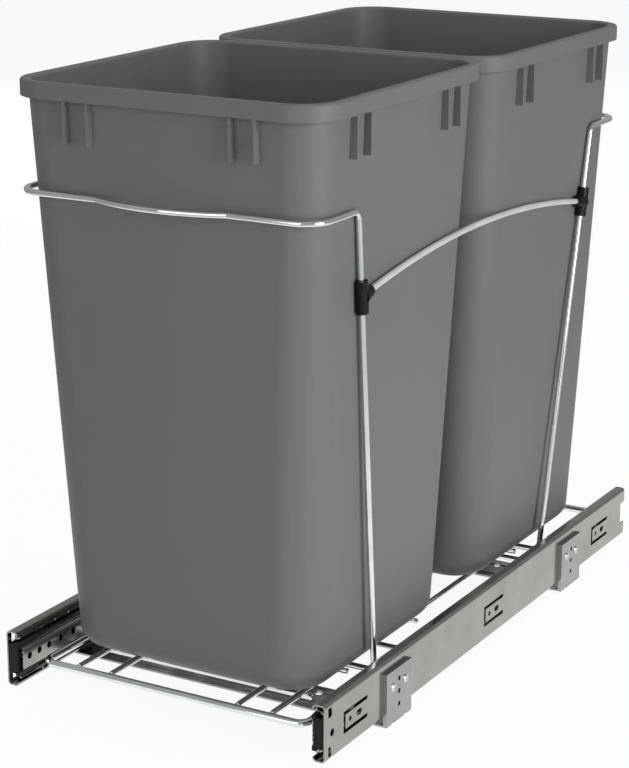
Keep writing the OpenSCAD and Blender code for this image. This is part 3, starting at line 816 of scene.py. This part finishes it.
    def build(self) -> None:
        """Makes the bin in one loft, from its bottom outside round the rim to its bottom inside."""
        inside = self._foot_levels(self.rim_out + self.lean + self.wall, self.foot + self.wall,
                                   self.foot_corner - self.wall, self.foot_round - self.wall)
        levels = [*self._bottom_levels(), *self._rim_levels(), *reversed(inside)]
        shape = Shape()
        shape.lofted(self.middle, levels, self.corner_steps)
        self._fins(shape)
        shape.piece(f"bin_{self.row.word}_moulding", Finishes.bin, f"bin_{self.row.word}",
                    [f"bin_{self.row.word}"], self.smooth_deg)

    def _fins(self, shape: Shape) -> None:
        """Adds the upright fins under the rim, two pairs on each wall.

        Args:
            shape: The bin's shape.
        """
        low = self.top - self.skirt - self.fin_drop
        share = (self.skirt + self.fin_drop) / (self.top - self.foot)
        wall_in = self.rim_out + self.lean * share + self.fin_root
        for quarter in range(4):
            half = self.half_x if quarter % 2 == 0 else self.half_y
            turn = Matrix.Translation(self.middle) @ Matrix.Rotation(math.pi / 2 * quarter, 4, "Z")
            for middle in either_side(self.fin_pair_pitch):
                for step in either_side(self.fin_pitch):
                    near, far = (middle + step + edge for edge in either_side(self.fin_width))
                    shape.box((half - wall_in, near, low),
                              (half - self.fin_inset, far, self.top - self.lip / 2),
                              self.fin_round, turn)


@dataclass
class CrossPlate:
    """A beaded floor plate with an ear round each slide."""

    row: Row
    edge_break: float = 0.22 * MM

    def build(self) -> None:
        """Makes the plate."""
        node = f"{self.row.word}_cross_plate"
        FramePart(node, self.edge_break).piece(f"{node}_pressing", Finishes.dull, BASE, [node])


def fixings(outline: Outline, half: float, pitch: float, height: float, steps: int) -> Shape:
    """Turns the pairs of rivets or screws that stand at both plates, on each side.

    Args:
        outline: Radius and height of each point of one of them, in millimetres.
        half: Distance of their seats from the unit's middle.
        pitch: Distance between the two of a pair.
        height: Their height above the floor.
        steps: How many steps round.

    Returns:
        The shape with all eight.
    """
    shape = Shape()
    for side in Side:
        for middle in PLATE_DEPTHS:
            for step in either_side(pitch):
                at = from_front(side.value * half, middle + step, height)
                shape.spun(outline, at, (side.value, 0, 0), steps)
    return shape


@dataclass
class Rivets:
    """The domed rivets that hold the plates' ears to the slides. All lengths are in millimetres."""

    ear_half: float = 145.75
    pitch: float = 19.6
    height: float = 29.8
    steps: int = 28
    outline: Outline = (
        (0, -4.8), (2.5, -4.8), (2.7, -4.6), (2.7, -4.5), (1.8, -4.5), (1.8, 0), (3.4, 0), (3.4, 0.15),
        (3.25, 0.55), (2.75, 0.98), (2.1, 1.24), (1.6, 1.3), (1.25, 1.2), (1.0, 0.8), (0, 0.72))

    def build(self) -> None:
        """Makes all eight."""
        shape = fixings(self.outline, self.ear_half, self.pitch, self.height, self.steps)
        shape.piece("ear_rivets_domed", Finishes.rivet, BASE, ["ear_rivets"])


@dataclass
class Slide:
    """One ball slide: three rolled members and the bumper on the inner one.

    The bumper's places are in millimetres: inward from the slide's outer face, in depth from its
    front, and up from its middle.
    """

    side: Side
    edge_break: float = 0.2 * MM
    track_half: float = 142.45
    block_inward: Pair = (1.5, 9.9)
    block_depth: Pair = (0, 3.3)
    block_up: Pair = (-12.3, 12.3)
    block_round: float = 0.5 * MM
    ribs: int = 6
    rib_pitch: float = 3.7
    rib_inward: float = 8.9
    rib_depth: float = 0.05
    rib_length: float = 3.2 * MM
    rib_radius: float = 1.7 * MM
    rib_round: float = 0.25 * MM
    rib_sides: int = 20
    arm_inward: Pair = (7.6, 11.2)
    arm_depth: Pair = (0, 25)
    arm_up: Pair = (10.3, 14.3)
    arm_round: float = 0.4 * MM
    collar_inward: Pair = (7.4, 11.35)
    collar_depths: Outline = ((4, 7), (20, 23))
    collar_up: Pair = (11.3, 14.4)
    collar_round: float = 0.3 * MM

    def build(self) -> None:
        """Makes the members and the bumper."""
        for kind, body in (("outer", BASE), ("middle", f"middle_{self.side.word}"), ("inner", CARRIAGE)):
            node = f"{kind}_slide_{self.side.word}"
            FramePart(node, self.edge_break).piece(f"{node}_rolled", Finishes.zinc, body, [node])
        self._bumper()

    def _spot(self, inward: float, y: float, up: float) -> Vector:
        """A point by its distance inward from the slide's outer face and up from its middle."""
        return from_front(self.side.value * (self.track_half - inward), y, SLIDE_HEIGHT + up)

    def _block(self, shape: Shape, inward: Pair, depth: Pair, up: Pair, round_by: float) -> None:
        """Adds a rounded block.

        Args:
            shape: The shape.
            inward: Its two ends inward.
            depth: Its two ends in depth.
            up: Its two ends upward.
            round_by: Radius of its edges.
        """
        first, second = (self._spot(*spot) for spot in zip(inward, depth, up))
        ends = list(zip(first, second))
        shape.box([min(e) for e in ends], [max(e) for e in ends], round_by)

    def _bumper(self) -> None:
        """Makes the bumper: a ribbed block in front of the member and two arms on its flanges."""
        shape = Shape()
        self._block(shape, self.block_inward, self.block_depth, self.block_up, self.block_round)
        for k in range(self.ribs):
            up = self.rib_pitch * (k - (self.ribs - 1) / 2)
            shape.cylinder(self._spot(self.rib_inward, self.rib_depth, up), (0, 1, 0), self.rib_length,
                           self.rib_radius, sides=self.rib_sides, round_by=self.rib_round)
        for level in (-1, 1):
            arm_up, collar_up = (tuple(level * up for up in ups) for ups in (self.arm_up, self.collar_up))
            self._block(shape, self.arm_inward, self.arm_depth, arm_up, self.arm_round)
            for depth in self.collar_depths:
                self._block(shape, self.collar_inward, depth, collar_up, self.collar_round)
        shape.piece(f"slide_bumper_{self.side.word}_moulding", Finishes.nylon, CARRIAGE,
                    [f"slide_bumper_{self.side.word}"])


@dataclass
class Cradle:
    """The wire cradle: base ring, floor grid, two loops, two braces with their tees, tabs and screws.

    All lengths are in millimetres, and depths are from the slides' front end.
    """

    ring_radius: float = 3.175
    wire_radius: float = 2.38
    ring_sides: int = 28
    loop_sides: int = 24
    brace_radius: float = 2.38
    brace_span: float = 393.1
    brace_rise: float = 18.0
    brace_hidden: float = 6.0
    brace_step_deg: float = 1.0
    ring_half: float = 117.1
    ring_front: float = 14.3
    ring_rear: float = 550.0
    ring_height: float = 25.6
    ring_corner: float = 9.0
    rest_height: float = 31.205
    floor_height: float = 26.395
    under_height: float = 21.585
    floor_wires: tuple[float, ...] = (-87, -57, 57, 87)
    under_wires: tuple[float, ...] = (67.8, 124, 241, 430)
    under_half: float = 93.0
    rest_wires: Pair = (163, 389)
    weld_gap: float = 0.05
    floor_end_round: float = 0.3
    under_end_round: float = 1.5
    rest_end_round: float = 0.6
    foot_half: float = 119.2
    top_half: float = 127.46
    top_height: float = 398.0
    foot_depths: Pair = (116.6, 420)
    knee_depths: Pair = (73, 485)
    bar_depths: Pair = (13.4, 542.8)
    foot_bend: float = 7.0
    knee_bend: float = 7.0
    bar_corner: float = 20.4
    grip_half: float = 55.0
    grip_reach: float = 21.4
    grip_bend: float = 8.0
    grip_radius: float = 144.1
    edge_break: float = 0.3
    tee_corner_deg: float = 35.0
    screw_half: float = 127.85
    screw_pitch: float = 12.7
    screw_steps: int = 20
    screw_outline: Outline = (
        (0, -1.0), (0.9, -1.0), (1.3, -1.9), (1.9, -2.15), (2.9, -1.9), (3.6, -1.2), (3.95, -0.4),
        (4.0, 0), (2.0, 0), (2.0, 4.0), (1.6, 4.5), (0, 4.5))
    cross_weld: float = 1.7
    ring_weld: float = 2.0
    ring_weld_drop: float = 2.6
    end_weld: float = 2.2
    end_weld_in: float = 0.2
    end_weld_up: float = 0.3

    def build(self) -> None:
        """Makes every piece of the cradle."""
        self._ring()
        self._grid()
        for row in Row:
            self._loop(row)
        edge_break = self.edge_break * MM
        for side in Side:
            self._brace(side)
            for row in Row:
                tee = f"tee_{row.word}_{side.word}"
                FramePart(tee, edge_break, self.tee_corner_deg).piece(f"{tee}_clip", Finishes.nylon,
                                                                      CARRIAGE, [tee])
                tab = f"mounting_tab_{row.word}_{side.word}"
                FramePart(tab, edge_break).piece(f"{tab}_bracket", Finishes.dull, CARRIAGE, [tab])
        screws = fixings(self.screw_outline, self.screw_half, self.screw_pitch, SLIDE_HEIGHT,
                         self.screw_steps)
        screws.piece("tab_screws_turned", Finishes.rivet, CARRIAGE, ["tab_screws"])
        self._welds()

    def _ring(self) -> None:
        """Bends the base ring."""
        bender = WireBender(self.ring_radius * MM, self.ring_sides)
        corners = [from_front(x * self.ring_half, y, self.ring_height)
                   for x, y in ((1, self.ring_front), (1, self.ring_rear), (-1, self.ring_rear),
                                (-1, self.ring_front))]
        bender.closed(corners, [self.ring_corner * MM] * len(corners))
        bender.piece("base_ring_wire", Finishes.wire, CARRIAGE, ["base_ring"])

    def _wire(self, node: str, start: Vector, end: Vector, end_round: float) -> None:
        """Cuts one straight wire.

        Args:
            node: The node that it stands for.
            start: One end.
            end: The other end.
            end_round: Radius of the ends' rounding in millimetres.
        """
        bender = WireBender(self.wire_radius * MM)
        bender.straight(start, end, end_round * MM)
        bender.piece(f"{node}_drawn", Finishes.wire, CARRIAGE, [node])

    def _grid(self) -> None:
        """Cuts the straight wires of the floor."""
        inside = self.ring_radius + self.weld_gap
        for i, x in enumerate(self.floor_wires, 1):
            self._wire(f"floor_wire_{i}", from_front(x, self.ring_front + inside, self.floor_height),
                       from_front(x, self.ring_rear - inside, self.floor_height), self.floor_end_round)
        for i, y in enumerate(self.under_wires, 1):
            self._wire(f"under_wire_{i}", from_front(-self.under_half, y, self.under_height),
                       from_front(self.under_half, y, self.under_height), self.under_end_round)
        reach = self.ring_half + self.ring_radius / 2
        for row in Row:
            y = self.rest_wires[row.value]
            self._wire(f"rest_wire_{row.word}", from_front(-reach, y, self.rest_height),
                       from_front(reach, y, self.rest_height), self.rest_end_round)

    def _loop(self, row: Row) -> None:
        """Bends one loop: across under the bin, up both sides and round its wall.

        Args:
            row: Which loop.
        """
        bar = self.bar_depths[row.value]
        half = [(self.foot_half, self.foot_depths[row.value], self.rest_height),
                (self.top_half, self.knee_depths[row.value], self.top_height),
                (self.top_half, bar, self.top_height)]
        radii = [self.foot_bend, self.knee_bend, self.bar_corner]
        bow, bow_radius = [], []
        if row is Row.FRONT:
            half.append((self.grip_half, bar, self.top_height))
            radii.append(self.grip_bend)
            bow, bow_radius = [(0, bar - self.grip_reach, self.top_height)], [self.grip_radius]
        corners = half + bow + [(-x, y, z) for x, y, z in reversed(half)]
        bender = WireBender(self.wire_radius * MM, self.loop_sides)
        bender.closed([from_front(*c) for c in corners],
                      [r * MM for r in radii + bow_radius + radii[::-1]])
        bender.piece(f"{row.word}_loop_wire", Finishes.wire, CARRIAGE, [f"{row.word}_loop"])

    def _brace(self, side: Side) -> None:
        """Bends one bowed brace between two tees.

        Args:
            side: Which side.
        """
        low, high = (Vector(c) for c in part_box(f"side_brace_{side.word}"))
        radius = self.brace_radius * MM
        x = (low.x + high.x) / 2
        span, rise = self.brace_span * MM, self.brace_rise * MM
        arc = ((span / 2) ** 2 + rise ** 2) / (2 * rise)
        middle_y = (low.y + high.y) / 2
        centre = Vector((x, middle_y, high.z - radius - arc))
        half_turn = math.asin((span / 2 - self.brace_hidden * MM) / arc)
        way = Vector((0, math.cos(half_turn), math.sin(half_turn)))
        bender = WireBender(radius)
        bender.start(centre + arc * Vector((0, -way.z, way.y)), way)
        bender.bend((0, way.y, -way.z), arc, self.brace_step_deg)
        bmesh.ops.holes_fill(bender.mesh, edges=bender.mesh.edges, sides=0)
        bender.piece(f"side_brace_{side.word}_wire", Finishes.satin, CARRIAGE, [f"side_brace_{side.word}"])

    def _welds(self) -> None:
        """Sets a small weld where two wires of the cradle cross or meet."""
        low, high = ((self.floor_height + z) / 2 for z in (self.under_height, self.rest_height))
        spots = [(x, y, low, self.cross_weld) for y in self.under_wires for x in self.floor_wires]
        for y in (*self.rest_wires, *self.foot_depths):
            spots += [(x, y, high, self.cross_weld) for x in self.floor_wires]
            spots += [(side.value * self.ring_half, y, self.rest_height - self.ring_weld_drop,
                       self.ring_weld) for side in Side]
        inside = self.ring_radius + self.end_weld_in
        for y in (self.ring_front + inside, self.ring_rear - inside):
            spots += [(x, y, self.floor_height + self.end_weld_up, self.end_weld) for x in self.floor_wires]
        shape = Shape()
        for x, y, z, radius in spots:
            shape.bead(from_front(x, y, z), radius * MM)
        shape.piece("cradle_welds", Finishes.satin, CARRIAGE)


# The studio


WHITE = (1.0, 1.0, 1.0, 1.0)


@dataclass(frozen=True)
class Lamp:
    """A square area light."""

    name: str
    at: Point
    size: float
    watts: float
    mirrored: bool

    def build(self, aim: Point) -> None:
        """Hangs the lamp.

        Args:
            aim: The point that it faces.
        """
        data = bpy.data.lights.new(self.name, "AREA")
        data.shape, data.size, data.energy = "SQUARE", self.size, self.watts
        made = add_object(self.name, data)
        made.location = self.at
        made.visible_glossy = self.mirrored
        made.rotation_euler = (Vector(aim) - Vector(self.at)).to_track_quat("-Z", "Y").to_euler()


@dataclass
class Studio:
    """Pale floor, even soft light and the camera at the photograph's angle."""

    camera_at: Point = (0.86695, -1.55256, 0.7172)
    camera_turn_deg: Point = (73.816, 0.0, 29.94)
    lens_mm: float = 104.37
    sensor_mm: float = 36.0
    clip: Pair = (0.05, 100.0)
    floor_span: float = 40.0
    floor_drop: float = 0.2 * MM
    floor_paint: Colour = (0.82, 0.82, 0.82)
    ambient: float = 0.17
    mirrored_sky: float = 0.36
    white_reach: Pair = (0.4, 0.9)
    floor_glow: float = 1.05
    floor_glow_share: float = 0.88
    aim: Point = (0, 0, 0.25)
    # A key light from the right, a fill from the front, and weaker ones from above and behind
    lamps: tuple[Lamp, ...] = (
        Lamp("key", (2.4, -0.6, 0.75), size=1.3, watts=42.0, mirrored=True),
        Lamp("fill", (-0.3, -2.7, 1.05), size=2.0, watts=18.5, mirrored=True),
        Lamp("top", (0.0, 0.1, 2.6), size=0.9, watts=12.0, mirrored=False),
        Lamp("rear", (-1.9, 2.2, 1.0), size=1.6, watts=24.0, mirrored=False))

    def build(self) -> None:
        """Makes everything that isn't part of the object."""
        self._camera()
        self._world()
        self._floor()
        for lamp in self.lamps:
            lamp.build(self.aim)
        bpy.context.scene.view_settings.view_transform = "Standard"

    def _camera(self) -> None:
        """The camera, as solved from the photograph."""
        data = bpy.data.cameras.new("camera")
        data.lens = self.lens_mm
        data.sensor_width = self.sensor_mm
        data.clip_start, data.clip_end = self.clip
        made = add_object("camera", data)
        made.location = self.camera_at
        made.rotation_euler = [math.radians(a) for a in self.camera_turn_deg]
        bpy.context.scene.camera = made

    @staticmethod
    def _seen(graph: Graph, mirrored: Number = 1.0) -> Socket:
        """1 for rays from the camera, and a share for those from a reflection or through glass."""
        rays = [graph.node("ShaderNodeLightPath", output=name)
                for name in ("Is Camera Ray", "Is Glossy Ray", "Is Transmission Ray")]
        return (rays[0] + (rays[1] + rays[2]) * mirrored).lowest(1.0)

    def _world(self) -> None:
        """White where it is seen, an even ambient light where it only lights."""
        world = bpy.data.worlds.new("studio")
        bpy.context.scene.world = world
        graph = Graph(world)
        glossy = graph.node("ShaderNodeLightPath", output="Is Glossy Ray")
        level = 1.0 - glossy * (1.0 - self.mirrored_sky)
        light = graph.node("ShaderNodeBackground", None, {"Color": WHITE, "Strength": self.ambient})
        shown = graph.node("ShaderNodeBackground", None, {"Color": WHITE, "Strength": level})
        both = graph.node("ShaderNodeMixShader", None, {0: self._seen(graph), 1: light, 2: shown})
        graph.node_out(both, "ShaderNodeOutputWorld")

    def _floor(self) -> None:
        """The floor, which glows white where it is seen and keeps the object's shadow."""
        data = bpy.data.meshes.new("floor")
        mesh = bmesh.new()
        bmesh.ops.create_grid(mesh, x_segments=1, y_segments=1, size=self.floor_span / 2)
        bmesh.ops.translate(mesh, verts=mesh.verts, vec=(0, 0, -self.floor_drop))
        mesh.to_mesh(data)
        mesh.free()
        made = add_object("floor", data)
        paint = bpy.data.materials.new("floor")
        graph = Graph(paint)
        matt = graph.node("ShaderNodeBsdfDiffuse", None, {"Color": (*self.floor_paint, 1.0)})
        glow = graph.node("ShaderNodeEmission", None, {"Color": WHITE, "Strength": self.floor_glow})
        spot = graph.node("ShaderNodeTexCoord", output="Object")
        away = graph.node("ShaderNodeVectorMath", {"operation": "LENGTH"}, {0: spot}, "Value")
        share = self._seen(graph, 1.0 - away.spread(*self.white_reach)) * self.floor_glow_share
        graph.node_out(graph.node("ShaderNodeMixShader", None, {0: share, 1: matt, 2: glow}),
                       "ShaderNodeOutputMaterial")
        data.materials.append(paint)


def dress_nodes() -> None:
    """Gives every packed node the finish of its material slot."""
    finishes = {f.slot: f for f in vars(Finishes).values() if isinstance(f, Finish)}
    for sub in frame["record"]["subparts"]:
        data = frame["nodes"][sub["node"]].data
        data.materials.clear()
        data.materials.append(finishes[sub["material_slot"]].material())


def main() -> None:
    """Builds every sub-assembly in order."""
    logging.basicConfig(level=logging.INFO, format="%(message)s")
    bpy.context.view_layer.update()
    Studio().build()
    dress_nodes()
    for row in Row:
        CrossPlate(row).build()
    Rivets().build()
    for side in Side:
        Slide(side).build()
    Cradle().build()
    for row in Row:
        Bin(row).build()
    bpy.context.view_layer.update()


if __name__ == "__main__":
    main()
